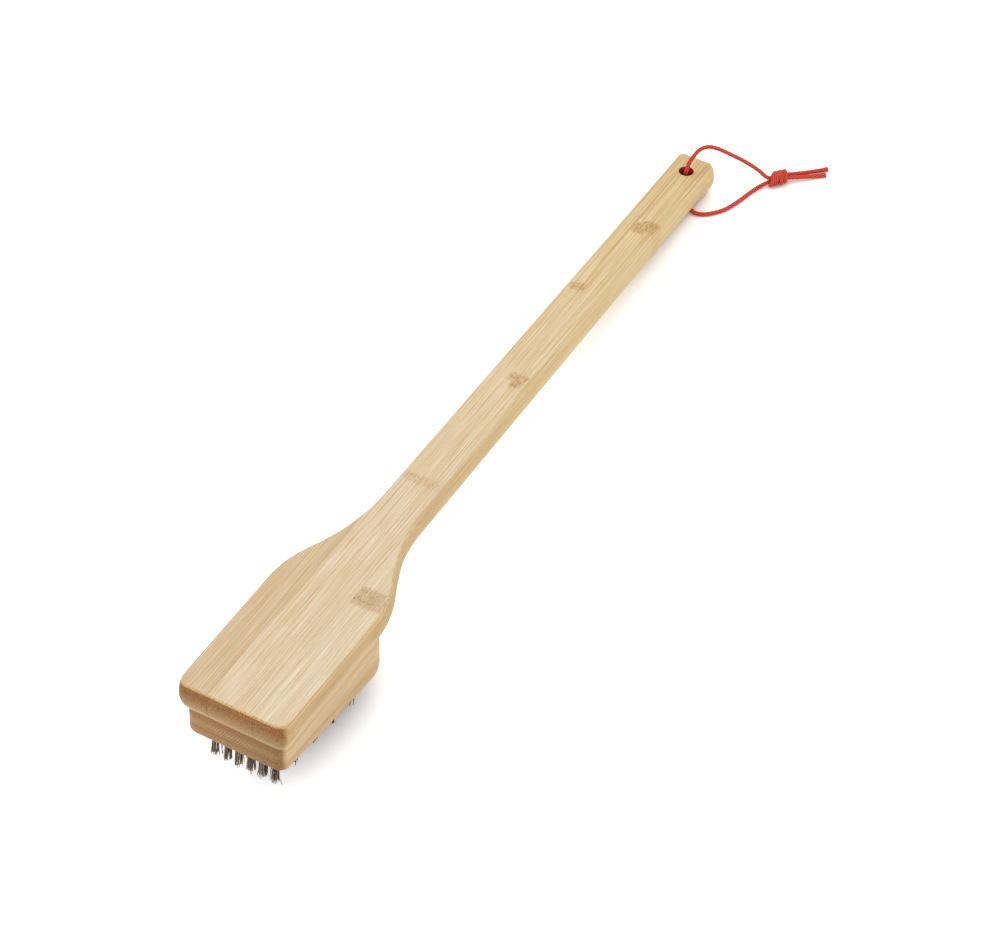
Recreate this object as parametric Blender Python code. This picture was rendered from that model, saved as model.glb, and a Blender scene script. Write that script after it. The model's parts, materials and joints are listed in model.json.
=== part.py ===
# Grill brush: a bamboo paddle, a wedge-shaped block of wire tufts under its head, and a red
# cord through the end of the handle.
# Lengths are in metres, +Z is up, and the brush lies on the plane z = 0 as it does on a
# table: on the heel of its last bristle row and, over the cord, on the end of its handle.
# The wooden pieces are modelled in the paddle's own frame. There X runs from the head's front
# edge to the handle's tip, Y is across, and the paddle's top face is z = 0.

import math

import bmesh
import bpy
from mathutils import Matrix, Vector

# Paddle
PADDLE_LENGTH = 0.460
PADDLE_THICKNESS = 0.0175
HEAD_WIDTH = 0.0594
HEAD_STRAIGHT = 0.0785          # from the front edge to the start of the shoulders
SHOULDER_RADIUS = 0.062
NECK_RADIUS = 0.112
NECK_WIDTH = 0.0230
TIP_WIDTH = 0.0202
FRONT_CORNER_RADIUS = 0.0045    # corners seen from above
TIP_CORNER_RADIUS = 0.0042
TOP_ARRIS = 0.0010              # eased edge round the top face
SIDE_CURVE_START = 0.0090       # depth from which the side curves in
SIDE_CURVE_RADIUS = 0.020

# Staves that the paddle is glued up from
PLANK_ALLOWANCE = 0.0010        # what the centre plank is wider than the neck, each side

# Hang hole
HOLE_FROM_TIP = 0.0130
HOLE_DIAMETER = 0.0080
HOLE_CHAMFER = 0.0006

# Block under the head
BLOCK_SETBACK = 0.0019          # of its front behind the head's front edge
BLOCK_LENGTH = 0.1033
BLOCK_WIDTH = 0.0544
BLOCK_FRONT_HEIGHT = 0.0178     # below the paddle, at the front face
BLOCK_SLOPE = math.radians(6.7) # its underside falls towards the handle
BLOCK_CORNER_RADIUS = 0.0055    # of its front corners
BLOCK_BACK_RADIUS = 0.0255      # its back end is almost a half round
BLOCK_UNDER_ROUND = 0.0040
TUFT_BOARD_THICKNESS = 0.0082

# Tufts
ROW_PITCH = 0.0081
TUFT_PITCH = 0.0066
FIRST_ROW_INSET = 0.0099        # from the block's front lower edge, along the underside
LAST_ROW_MARGIN = 0.0110        # least distance of a row from the block's round back end
SIDE_MARGIN = 0.0090            # least distance of a tuft from the block's side
BRISTLE_LENGTH = 0.0158         # below the block
STRANDS_PER_TUFT = 6
STRAND_SIDES = 3
STRAND_RADIUS = 0.00045
BUNDLE_ROOT_RADIUS = 0.00110    # of the ring of strands, at its anchor
BUNDLE_TIP_RADIUS = 0.00210
LEAN_VARIATION = 0.12           # share by which a strand leans more or less than its tuft
ANCHOR_WIDTH = 0.0044
ANCHOR_THICKNESS = 0.0012
ANCHOR_OVERHANG = 0.0022        # past the centre of the row's last tuft
HEEL_WEAR = 0.0005              # the strands that the brush stands on are cut flat this deep

# Cord, with its places measured from the hole's centre line on the table
CORD_DIAMETER = 0.0022
CORD_SPACING = 2.0              # diameters between the points of a tube
KNOT_LENGTH = 0.0105
KNOT_RADIUS = 0.0041
KNOT_GROOVE_RADIUS = 0.0034
KNOT_END_RADIUS = 0.0030
KNOT_PLACE = (0.0333, -0.0394)
KNOT_HEADING = math.radians(-44.0)

# Clearances
JOINT_GAP = 0.0003              # between pieces that are glued or seated
TABLE_GAP = 0.00005             # under what lies on the table
CORD_CLEARANCE = 0.0002         # between the cord and the handle that lies over it

# Fineness of the round shapes
CORNER_STEPS = 4
SWEEP_STEPS = 9                 # along a shoulder or a neck curve
ARRIS_STEPS = 2
ROUND_STEPS = 4
HOLE_SIDES = 24
TUFT_HOLE_SIDES = 10
KNOT_SIDES = 16
ROUTE_STEPS = 16                # between two points of a cord's route
SHARP_ANGLE = math.radians(35)  # from which an edge is shaded as an edge
LEAST_RADIUS = 0.0002           # of a corner that a round edge has eaten up
CUT_MARGIN = 0.002              # what a cutter reaches past the face that it opens

# Colours, linear
BAMBOO_FACE = (0.75, 0.58, 0.37)
BAMBOO_BLOCK = (0.48, 0.31, 0.15)
BAMBOO_LOWER = (0.40, 0.24, 0.11)
WIRE_STEEL = (0.22, 0.19, 0.16)
CORD_RED = (0.58, 0.05, 0.035)

# Sizes that follow from the ones above
head_half = HEAD_WIDTH / 2
neck_half = NECK_WIDTH / 2
tip_half = TIP_WIDTH / 2
plank_half = neck_half + PLANK_ALLOWANCE
hole_x = PADDLE_LENGTH - HOLE_FROM_TIP
block_front = BLOCK_SETBACK
block_back = BLOCK_SETBACK + BLOCK_LENGTH
block_half = BLOCK_WIDTH / 2
block_back_radius = min(BLOCK_BACK_RADIUS, block_half - LEAST_RADIUS)
block_front_depth = PADDLE_THICKNESS + BLOCK_FRONT_HEIGHT
underside_length = BLOCK_LENGTH / math.cos(BLOCK_SLOPE)
anchor_depth = ANCHOR_THICKNESS + JOINT_GAP
anchor_bottom = TUFT_BOARD_THICKNESS - ANCHOR_THICKNESS
bundle_spread = (BUNDLE_TIP_RADIUS - BUNDLE_ROOT_RADIUS) / (anchor_bottom + BRISTLE_LENGTH)
bundle_at_board = BUNDLE_ROOT_RADIUS + bundle_spread * (1 + LEAN_VARIATION) * anchor_bottom
tuft_hole_radius = (bundle_at_board + STRAND_RADIUS + JOINT_GAP) / math.cos(math.pi / TUFT_HOLE_SIDES)
cord_radius = CORD_DIAMETER / 2
handle_seat = CORD_DIAMETER + TABLE_GAP + CORD_CLEARANCE


# Scene and finishes

def clear_scene():
    for old in list(bpy.data.objects):
        bpy.data.objects.remove(old, do_unlink=True)


def make_finish(name, colour, roughness, metallic):
    material = bpy.data.materials.new(name)
    material.use_nodes = True
    shader = material.node_tree.nodes["Principled BSDF"]
    shader.inputs["Base Color"].default_value = (*colour, 1.0)
    shader.inputs["Roughness"].default_value = roughness
    shader.inputs["Metallic"].default_value = metallic
    return material


def add_object(name, data, parent, finish=None):
    piece = bpy.data.objects.new(name, data)
    bpy.context.collection.objects.link(piece)
    piece.parent = parent
    if finish is not None:
        data.materials.append(finish)
    return piece


def add_empty(name, location, pitch, parent=None):
    empty = bpy.data.objects.new(name, None)
    bpy.context.collection.objects.link(empty)
    empty.parent = parent
    empty.location = location
    empty.rotation_euler = (0.0, pitch, 0.0)
    return empty


def add_cutter(name, data, parent):
    cutter = add_object(name, data, parent)
    cutter.hide_render = True
    cutter.display_type = "WIRE"
    return cutter


def combine(piece, other, operation):
    change = piece.modifiers.new(other.name, "BOOLEAN")
    change.operation = operation
    change.object = other


def smooth_round_faces(mesh):
    mesh.shade_smooth()
    mesh.set_sharp_from_angle(angle=SHARP_ANGLE)


# Mesh builders

def loft(name, rings):
    # A closed solid through rings of points, all with the same count, capped at both ends.
    shape = bmesh.new()
    loops = [[shape.verts.new(point) for point in ring] for ring in rings]
    for upper, lower in zip(loops, loops[1:]):
        for index in range(len(upper)):
            after = (index + 1) % len(upper)
            shape.faces.new((upper[index], upper[after], lower[after], lower[index]))
    shape.faces.new(loops[0])
    shape.faces.new(loops[-1])
    bmesh.ops.recalc_face_normals(shape, faces=shape.faces)
    mesh = bpy.data.meshes.new(name)
    shape.to_mesh(mesh)
    shape.free()
    smooth_round_faces(mesh)
    return mesh


def boxes(name, spans):
    # One mesh of separate boxes, each given by its low and its high corner.
    shape = bmesh.new()
    for low, high in spans:
        low = Vector(low)
        high = Vector(high)
        size = Matrix.Diagonal((*(high - low), 1.0))
        bmesh.ops.create_cube(shape, size=1.0, matrix=Matrix.Translation((low + high) / 2) @ size)
    mesh = bpy.data.meshes.new(name)
    shape.to_mesh(mesh)
    shape.free()
    return mesh


def arc(centre, radius, start, end, steps):
    # Points on an arc from one angle to the other, both ends included.
    points = []
    for step in range(steps + 1):
        angle = start + (end - start) * step / steps
        points.append((centre[0] + radius * math.cos(angle), centre[1] + radius * math.sin(angle)))
    return points


def circle(radius, sides, height):
    return [Vector((radius * math.cos(math.tau * side / sides),
                    radius * math.sin(math.tau * side / sides), height)) for side in range(sides)]


def mirrored(half):
    # The whole outline from its half at +Y, which starts at the front and ends at the back.
    return half + [(x, -y) for x, y in reversed(half)]


def edge_levels():
    # Height and inset of the outline, down an edge that is eased at the top and curves in
    # towards the underside.
    levels = []
    for step in range(ARRIS_STEPS + 1):
        turn = math.pi / 2 * step / ARRIS_STEPS
        levels.append((-TOP_ARRIS * (1 - math.cos(turn)), TOP_ARRIS * (1 - math.sin(turn))))
    for step in range(ROUND_STEPS + 1):
        drop = (PADDLE_THICKNESS - SIDE_CURVE_START) * step / ROUND_STEPS
        levels.append((-SIDE_CURVE_START - drop,
                       SIDE_CURVE_RADIUS - math.sqrt(SIDE_CURVE_RADIUS**2 - drop**2)))
    return levels


# Paddle

def paddle_outline(inset):
    # Head with square sides, a convex shoulder that runs into a concave neck, and a handle
    # that tapers to a round-cornered tip. The inset outline is parallel to the full one.
    front_radius = max(FRONT_CORNER_RADIUS - inset, LEAST_RADIUS)
    tip_radius = max(TIP_CORNER_RADIUS - inset, LEAST_RADIUS)
    reach = SHOULDER_RADIUS + NECK_RADIUS
    bend = math.acos(1 - (head_half - neck_half) / reach)
    shoulder = (HEAD_STRAIGHT, head_half - SHOULDER_RADIUS)
    neck = (shoulder[0] + reach * math.sin(bend), shoulder[1] + reach * math.cos(bend))
    right = math.pi / 2
    half = arc((inset + front_radius, head_half - inset - front_radius),
               front_radius, 2 * right, right, CORNER_STEPS)
    half += arc(shoulder, SHOULDER_RADIUS - inset, right, right - bend, SWEEP_STEPS)
    half += arc(neck, NECK_RADIUS + inset, 3 * right - bend, 3 * right, SWEEP_STEPS)[1:]
    half += arc((PADDLE_LENGTH - inset - tip_radius, tip_half - inset - tip_radius),
                tip_radius, right, 0.0, CORNER_STEPS)
    return mirrored(half)


def paddle_rings():
    return [[Vector((x, y, height)) for x, y in paddle_outline(inset)]
            for height, inset in edge_levels()]


def add_stave(name, paddle, low_y, high_y, brush_frame, finish):
    # A stave is the part of the paddle's form that lies in its own strip.
    stave = add_object(name, paddle.copy(), brush_frame, finish)
    low = (-CUT_MARGIN, low_y, -PADDLE_THICKNESS - CUT_MARGIN)
    high = (PADDLE_LENGTH + CUT_MARGIN, high_y, CUT_MARGIN)
    strip = add_cutter(name + "_strip", boxes(name + "_strip", [(low, high)]), brush_frame)
    combine(stave, strip, "INTERSECT")
    return stave


def hole_cutter_mesh():
    radius = HOLE_DIAMETER / 2
    mouth = radius + HOLE_CHAMFER + CUT_MARGIN
    levels = [(CUT_MARGIN, mouth), (-HOLE_CHAMFER, radius),
              (HOLE_CHAMFER - PADDLE_THICKNESS, radius), (-PADDLE_THICKNESS - CUT_MARGIN, mouth)]
    return loft("hang_hole", [circle(size, HOLE_SIDES, height) for height, size in levels])


def add_paddle(brush_frame):
    paddle = loft("paddle_form", paddle_rings())
    half_gap = JOINT_GAP / 2
    outer = head_half + CUT_MARGIN
    core = make_finish("bamboo_core", BAMBOO_FACE, 0.55, 0.0)
    cheek = make_finish("bamboo_cheek", BAMBOO_FACE, 0.55, 0.0)
    plank = add_stave("handle_plank", paddle, half_gap - plank_half, plank_half - half_gap,
                      brush_frame, core)
    hole = add_cutter("hang_hole_cutter", hole_cutter_mesh(), brush_frame)
    hole.location = (hole_x, 0.0, 0.0)
    combine(plank, hole, "DIFFERENCE")
    add_stave("head_cheek_left", paddle, plank_half + half_gap, outer, brush_frame, cheek)
    add_stave("head_cheek_right", paddle, -outer, -plank_half - half_gap, brush_frame, cheek)


# Block

def block_outline(inset):
    front_radius = max(BLOCK_CORNER_RADIUS - inset, LEAST_RADIUS)
    back_radius = max(block_back_radius - inset, LEAST_RADIUS)
    side = block_half - inset
    right = math.pi / 2
    half = arc((block_front + inset + front_radius, side - front_radius),
               front_radius, 2 * right, right, CORNER_STEPS)
    half += arc((block_back - inset - back_radius, side - back_radius),
                back_radius, right, 0.0, SWEEP_STEPS)
    return mirrored(half)


def block_half_at(x):
    # Half width of the block at x, which is less where its back corners round off.
    past_side = min(max(x - block_back + block_back_radius, 0.0), block_back_radius)
    return block_half - block_back_radius + math.sqrt(block_back_radius**2 - past_side**2)


def block_ring(inset, height):
    # A ring parallel to the sloping underside, at a height above it.
    ring = []
    for x, y in block_outline(inset):
        underside = -block_front_depth - (x - block_front) * math.tan(BLOCK_SLOPE)
        ring.append(Vector((x, y, underside + height / math.cos(BLOCK_SLOPE))))
    return ring


def wedge_rings():
    top = [Vector((x, y, -PADDLE_THICKNESS - JOINT_GAP)) for x, y in block_outline(0.0)]
    return [top, block_ring(0.0, TUFT_BOARD_THICKNESS + JOINT_GAP)]


def tuft_board_rings():
    rings = [block_ring(0.0, TUFT_BOARD_THICKNESS)]
    for step in range(ROUND_STEPS + 1):
        turn = math.pi / 2 * step / ROUND_STEPS
        rings.append(block_ring(BLOCK_UNDER_ROUND * (1 - math.cos(turn)),
                                BLOCK_UNDER_ROUND * (1 - math.sin(turn))))
    return rings


def add_block(brush_frame, bristle_frame, rows):
    wedge = make_finish("bamboo_wedge", BAMBOO_BLOCK, 0.6, 0.0)
    board = make_finish("bamboo_tuft_board", BAMBOO_LOWER, 0.6, 0.0)
    add_object("wedge_ply", loft("wedge_ply", wedge_rings()), brush_frame, wedge)
    tuft_board = add_object("tuft_board", loft("tuft_board", tuft_board_rings()), brush_frame, board)
    grooves = add_cutter("anchor_grooves", groove_mesh(rows), bristle_frame)
    holes = add_cutter("tuft_holes", tuft_hole_mesh(rows), bristle_frame)
    combine(tuft_board, grooves, "DIFFERENCE")
    combine(tuft_board, holes, "DIFFERENCE")


# Tufts, in the frame of the sloping underside: X runs along it and the tufts point down.

def tuft_rows():
    # The place of each row and of its tufts. Every second row is shifted by half a pitch,
    # and a row in the round back end has fewer tufts.
    length = underside_length - FIRST_ROW_INSET - LAST_ROW_MARGIN
    rows = []
    for row in range(int(length / ROW_PITCH) + 1):
        x = FIRST_ROW_INSET + ROW_PITCH * row
        usable = block_half_at(block_front + x * math.cos(BLOCK_SLOPE)) - SIDE_MARGIN
        if row % 2:
            side = int(usable / TUFT_PITCH)
            places = [TUFT_PITCH * tuft for tuft in range(-side, side + 1)]
        else:
            side = int(usable / TUFT_PITCH + 0.5)
            places = [TUFT_PITCH * (tuft + 0.5) for tuft in range(-side, side)]
        rows.append((x, places))
    return rows


def groove_mesh(rows):
    half_width = ANCHOR_WIDTH / 2 + JOINT_GAP
    spans = []
    for x, places in rows:
        half_length = places[-1] + ANCHOR_OVERHANG + JOINT_GAP
        spans.append(((x - half_width, -half_length, TUFT_BOARD_THICKNESS - anchor_depth),
                      (x + half_width, half_length, TUFT_BOARD_THICKNESS + CUT_MARGIN)))
    return boxes("anchor_grooves", spans)


def tuft_hole_mesh(rows):
    shape = bmesh.new()
    top = anchor_bottom + ANCHOR_THICKNESS / 2
    depth = top + CUT_MARGIN
    for x, places in rows:
        for y in places:
            place = Matrix.Translation((x, y, top - depth / 2))
            bmesh.ops.create_cone(shape, cap_ends=True, segments=TUFT_HOLE_SIDES, matrix=place,
                                  radius1=tuft_hole_radius, radius2=tuft_hole_radius, depth=depth)
    mesh = bpy.data.meshes.new("tuft_holes")
    shape.to_mesh(mesh)
    shape.free()
    return mesh


def strand_ends(angle, lean):
    # The corners of one strand at its anchor and at its tip, around the centre of its tuft.
    # A tuft's strands stand on a ring that widens evenly, so that none crosses another.
    out = Vector((math.cos(angle), math.sin(angle), 0.0))
    spread = (BUNDLE_TIP_RADIUS - BUNDLE_ROOT_RADIUS) * lean
    root = out * BUNDLE_ROOT_RADIUS + Vector((0.0, 0.0, anchor_bottom + ANCHOR_THICKNESS / 2))
    tip = out * (BUNDLE_ROOT_RADIUS + spread) + Vector((0.0, 0.0, -BRISTLE_LENGTH))
    corners = circle(STRAND_RADIUS, STRAND_SIDES, 0.0)
    return [(root + corner, tip + corner) for corner in corners]


def strand_mesh(name, places, row_number, to_world):
    # All strands of a row. What would reach below the table is cut off level with it.
    shape = bmesh.new()
    golden = math.pi * (3 - math.sqrt(5))
    for tuft, y in enumerate(places):
        centre = Vector((0.0, y, 0.0))
        for strand in range(STRANDS_PER_TUFT):
            angle = math.tau * strand / STRANDS_PER_TUFT + golden * (tuft + row_number)
            turn = strand + STRANDS_PER_TUFT * tuft + row_number
            lean = 1 + LEAN_VARIATION * math.sin(3 * golden * turn)
            roots = []
            tips = []
            for root, tip in strand_ends(angle, lean):
                root_height = (to_world @ (centre + root)).z
                tip_height = (to_world @ (centre + tip)).z
                share = root_height / (root_height - tip_height) if tip_height < 0 else 1.0
                roots.append(shape.verts.new(centre + root))
                tips.append(shape.verts.new(centre + root.lerp(tip, share)))
            for side in range(STRAND_SIDES):
                after = (side + 1) % STRAND_SIDES
                shape.faces.new((roots[side], roots[after], tips[after], tips[side]))
            shape.faces.new(roots)
            shape.faces.new(tips)
    bmesh.ops.recalc_face_normals(shape, faces=shape.faces)
    mesh = bpy.data.meshes.new(name)
    shape.to_mesh(mesh)
    shape.free()
    return mesh


def add_bristle_rows(bristle_frame, to_world, rows):
    wire = make_finish("wire_steel", WIRE_STEEL, 0.35, 1.0)
    for number, (x, places) in enumerate(rows, start=1):
        name = "bristle_row_%02d" % number
        half_length = places[-1] + ANCHOR_OVERHANG
        anchor = boxes(name, [((-ANCHOR_WIDTH / 2, -half_length, anchor_bottom),
                               (ANCHOR_WIDTH / 2, half_length, TUFT_BOARD_THICKNESS))])
        row = add_object(name, anchor, bristle_frame, wire)
        row.location = (x, 0.0, 0.0)
        placed = to_world @ Matrix.Translation((x, 0.0, 0.0))
        strands = add_cutter(name + "_strands", strand_mesh(name, places, number, placed), bristle_frame)
        strands.location = row.location
        combine(row, strands, "UNION")


# How the brush lies

def lying_pose(rows):
    # The brush stands on the heel, the back of its last row's tips less what is worn flat,
    # and the underside of its handle lies a seat's height up at the hang hole. The angle
    # is the paddle's pitch, and the two frames' matrices follow from it.
    bristle_in_paddle = (Matrix.Translation((block_front, 0.0, -block_front_depth))
                         @ Matrix.Rotation(BLOCK_SLOPE, 4, "Y"))
    heel = bristle_in_paddle @ Vector((rows[-1][0] + BUNDLE_TIP_RADIUS + STRAND_RADIUS, 0.0,
                                       HEEL_WEAR - BRISTLE_LENGTH))
    over_cord = Vector((hole_x, 0.0, -PADDLE_THICKNESS))
    across = over_cord - heel
    pitch = math.atan2(across.z, across.x) - math.asin(handle_seat / across.length)
    turned = Matrix.Rotation(pitch, 4, "Y")
    outline = [turned @ point for ring in paddle_rings() + tuft_board_rings() for point in ring]
    middle = (min(point.x for point in outline) + max(point.x for point in outline)) / 2
    place = Vector((-middle, 0.0, -(turned @ heel).z))
    paddle_in_world = Matrix.Translation(place) @ turned
    return pitch, place, paddle_in_world, paddle_in_world @ bristle_in_paddle


# Cord, in a frame whose origin is on the table under the middle of the hang hole

# Over the handle's end: up out of the bore, an arch, and down to the knot.
OVER_ROUTE = (
    (0.0011, 0.0010, 0.0114), (0.0008, 0.0004, 0.0160), (0.0003, -0.0004, 0.0200),
    (0.0013, -0.0015, 0.0260), (0.0030, -0.0035, 0.0308), (0.0052, -0.0061, 0.0350),
    (0.0082, -0.0097, 0.0360), (0.0117, -0.0137, 0.0332), (0.0162, -0.0190, 0.0274),
    (0.0212, -0.0249, 0.0204), (0.0258, -0.0306, 0.0125), (0.0275, -0.0331, 0.0084),
    (0.0288, -0.0349, 0.0061),
)
# Under it: down out of the bore, out sideways over the table, and round to the knot.
UNDER_ROUTE = (
    (0.0011, 0.0010, 0.0111), (0.0011, 0.0010, 0.0072), (0.0006, 0.0005, 0.0039),
    (-0.0009, -0.0008, 0.00189), (-0.0030, -0.0027, 0.00115), (-0.0054, -0.0050, 0.00115),
    (-0.0077, -0.0077, 0.00115), (-0.0085, -0.0110, 0.00115), (-0.0074, -0.0149, 0.00115),
    (-0.0041, -0.0191, 0.00115), (0.0015, -0.0236, 0.00115), (0.0098, -0.0270, 0.00115),
    (0.0181, -0.0294, 0.00115), (0.0226, -0.0311, 0.0013), (0.0263, -0.0331, 0.0018),
    (0.0293, -0.0355, 0.0026),
)
TAIL_A_ROUTE = (
    (0.0382, -0.0424, 0.0037), (0.0409, -0.0455, 0.0032), (0.0461, -0.0508, 0.0022),
    (0.0509, -0.0555, 0.0015), (0.0540, -0.0587, 0.0013),
)
TAIL_B_ROUTE = (
    (0.0364, -0.0442, 0.0037), (0.0386, -0.0469, 0.0032), (0.0432, -0.0523, 0.0022),
    (0.0467, -0.0564, 0.0015), (0.0494, -0.0598, 0.0013),
)


def smooth_path(route, spacing):
    # A smooth curve through the route's points, read at equal steps. Between two points it
    # is a cubic whose slope at each point runs along its neighbours.
    points = [Vector(point) for point in route]
    slopes = [points[1] - points[0]]
    slopes += [(after - before) / 2 for before, after in zip(points, points[2:])]
    slopes.append(points[-1] - points[-2])
    fine = [points[0]]
    for start, end, slope_in, slope_out in zip(points, points[1:], slopes, slopes[1:]):
        for step in range(1, ROUTE_STEPS + 1):
            t = step / ROUTE_STEPS
            fine.append(start * (2 * t**3 - 3 * t**2 + 1) + slope_in * (t**3 - 2 * t**2 + t)
                        + end * (3 * t**2 - 2 * t**3) + slope_out * (t**3 - t**2))
    travelled = [0.0]
    for before, after in zip(fine, fine[1:]):
        travelled.append(travelled[-1] + (after - before).length)
    count = max(round(travelled[-1] / spacing), 1)
    path = [fine[0]]
    at = 0
    for step in range(1, count):
        wanted = travelled[-1] * step / count
        while travelled[at + 1] < wanted:
            at += 1
        share = (wanted - travelled[at]) / (travelled[at + 1] - travelled[at])
        path.append(fine[at].lerp(fine[at + 1], share))
    path.append(fine[-1])
    return path


def add_tube(name, route, loop_frame, finish):
    curve = bpy.data.curves.new(name, "CURVE")
    curve.dimensions = "3D"
    curve.bevel_depth = cord_radius
    curve.bevel_resolution = 2
    curve.use_fill_caps = True
    path = smooth_path(route, CORD_SPACING * CORD_DIAMETER)
    spline = curve.splines.new("POLY")
    spline.points.add(len(path) - 1)
    for point, place in zip(spline.points, path):
        point.co = (*place, 1.0)
    return add_object(name, curve, loop_frame, finish)


def add_knot(loop_frame, finish):
    # Two turns of cord with a groove between them, on an axis that lies along the cord.
    quarter = KNOT_LENGTH / 4
    ends = KNOT_LENGTH / 2
    profile = [(-ends, KNOT_END_RADIUS), (-quarter, KNOT_RADIUS), (0.0, KNOT_GROOVE_RADIUS),
               (quarter, KNOT_RADIUS), (ends, KNOT_END_RADIUS)]
    rings = []
    for (start, low), (end, high) in zip(profile, profile[1:]):
        for step in range(ROUND_STEPS):
            share = step / ROUND_STEPS
            blend = (1 - math.cos(math.pi * share)) / 2
            rings.append((start + (end - start) * share, low + (high - low) * blend))
    rings.append(profile[-1])
    lie = Matrix.Rotation(math.pi / 2, 4, "Y")
    mesh = loft("cord_knot", [[lie @ point for point in circle(radius, KNOT_SIDES, place)]
                              for place, radius in rings])
    knot = add_object("cord_knot", mesh, loop_frame, finish)
    knot.location = (*KNOT_PLACE, KNOT_RADIUS + TABLE_GAP)
    knot.rotation_euler = (0.0, 0.0, KNOT_HEADING)


def add_cord(loop_frame):
    braid = make_finish("cord_braid", CORD_RED, 0.8, 0.0)
    add_tube("cord_over", OVER_ROUTE, loop_frame, braid)
    add_tube("cord_under", UNDER_ROUTE, loop_frame, braid)
    add_tube("cord_tail_a", TAIL_A_ROUTE, loop_frame, braid)
    add_tube("cord_tail_b", TAIL_B_ROUTE, loop_frame, braid)
    add_knot(loop_frame, braid)


def build():
    clear_scene()
    rows = tuft_rows()
    pitch, place, paddle_in_world, bristle_in_world = lying_pose(rows)
    brush_frame = add_empty("brush_frame", place, pitch)
    bristle_frame = add_empty("bristle_frame", (block_front, 0.0, -block_front_depth), BLOCK_SLOPE,
                              brush_frame)
    hole_middle = paddle_in_world @ Vector((hole_x, 0.0, -PADDLE_THICKNESS / 2))
    loop_frame = add_empty("loop_frame", (hole_middle.x, 0.0, 0.0), 0.0)
    add_paddle(brush_frame)
    add_block(brush_frame, bristle_frame, rows)
    add_bristle_rows(bristle_frame, bristle_in_world, rows)
    add_cord(loop_frame)


build()
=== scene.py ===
import json
import math
from functools import partial
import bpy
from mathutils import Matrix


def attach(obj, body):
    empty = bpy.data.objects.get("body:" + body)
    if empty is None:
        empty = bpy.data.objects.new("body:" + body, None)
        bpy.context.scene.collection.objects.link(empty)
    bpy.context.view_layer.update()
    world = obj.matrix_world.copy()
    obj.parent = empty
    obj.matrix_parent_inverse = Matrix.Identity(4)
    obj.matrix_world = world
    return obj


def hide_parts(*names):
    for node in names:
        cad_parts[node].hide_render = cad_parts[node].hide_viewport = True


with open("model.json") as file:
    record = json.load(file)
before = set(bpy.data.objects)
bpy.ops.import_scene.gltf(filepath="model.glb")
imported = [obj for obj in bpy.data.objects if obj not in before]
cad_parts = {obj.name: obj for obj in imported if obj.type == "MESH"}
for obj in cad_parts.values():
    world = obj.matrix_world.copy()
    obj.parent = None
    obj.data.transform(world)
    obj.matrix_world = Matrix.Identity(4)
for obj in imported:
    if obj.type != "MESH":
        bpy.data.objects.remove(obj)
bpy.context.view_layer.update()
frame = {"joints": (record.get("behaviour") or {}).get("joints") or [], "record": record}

from types import SimpleNamespace

import bmesh
import bpy
import numpy as np
from mathutils import Euler, Matrix

# Bamboo grill brush with steel tufts and a red hanging cord, in metres.
# Wood is worked out in the paddle's own frame: X from the head's front edge to the handle's
# tip, Y across, top face at 0. One turn and one place put that frame into the row frame.


def turnAboutY(angle):
    # The matrix that turns points about Y.
    return np.array([[math.cos(angle), 0.0, math.sin(angle)], [0.0, 1.0, 0.0],
                     [-math.sin(angle), 0.0, math.cos(angle)]])


headTop = frame["record"]["mounts"][0]
mountAlong = 0.040                                   # where the mount sits along the paddle
pitch = math.atan2(headTop["axis"][0], headTop["axis"][2])
paddleTurn = turnAboutY(pitch)
paddlePlace = np.array(headTop["pos_m"]) - paddleTurn @ np.array([mountAlong, 0.0, 0.0])
loopPlace = np.array(frame["joints"][0]["pos_m"])


def paddleToRow(points):
    # Paddle point turned by the pitch about Y, then moved to the paddle's place.
    return points @ paddleTurn.T + paddlePlace


def srgbToLinear(code):
    # Hex sRGB to linear: the standard curve with its straight foot.
    parts = [int(code[i:i + 2], 16) / 255 for i in (1, 3, 5)]
    return [p / 12.92 if p <= 0.04045 else ((p + 0.055) / 1.055) ** 2.4 for p in parts] + [1.0]


def setInputs(node, inputs):
    # A node's inputs as numbers, hex colours or outputs to link.
    for key, value in inputs.items():
        if isinstance(value, bpy.types.NodeSocket):
            node.id_data.links.new(value, node.inputs[key])
        else:
            node.inputs[key].default_value = srgbToLinear(value) if isinstance(value, str) else value


def setStops(ramp, stops):
    # Colour ramp stops as (place, hex) pairs.
    while len(ramp.elements) < len(stops):
        ramp.elements.new(0.5)
    for element, (place, code) in zip(ramp.elements, stops):
        element.position = place
        element.color = srgbToLinear(code)


def addNode(tree, kind, inputs=None, output=0, stops=(), **settings):
    # One node with its settings, inputs and ramp stops. It gives the output that is asked for.
    node = tree.nodes.new("ShaderNode" + kind)
    for name, value in settings.items():
        setattr(node, name, value)
    setInputs(node, inputs or {})
    if stops:
        setStops(node.color_ramp, stops)
    return node.outputs[output]


def newMaterial(name):
    # A material, its shader, and addNode for its own tree.
    material = bpy.data.materials.new(name)
    material.use_nodes = True
    tree = material.node_tree
    return material, tree.nodes["Principled BSDF"], partial(addNode, tree)


def newPiece(name, points, faces, material, body=None, nodes=()):
    # A mesh piece whose place is in its points. It rides on a body and stands for CAD nodes.
    mesh = bpy.data.meshes.new(name)
    mesh.from_pydata(points.tolist(), [], faces)
    mesh.update()
    mesh.shade_smooth()
    mesh.materials.append(material)
    piece = bpy.data.objects.new(name, mesh)
    bpy.context.scene.collection.objects.link(piece)
    if body:
        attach(piece, body)
        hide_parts(*nodes)
    return piece


def keepNumbers(piece, name, values):
    # One number for each of a piece's points, which its material can read.
    layer = piece.data.attributes.new(name, "FLOAT", "POINT")
    layer.data.foreach_set("value", values.astype(np.float32))


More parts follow.
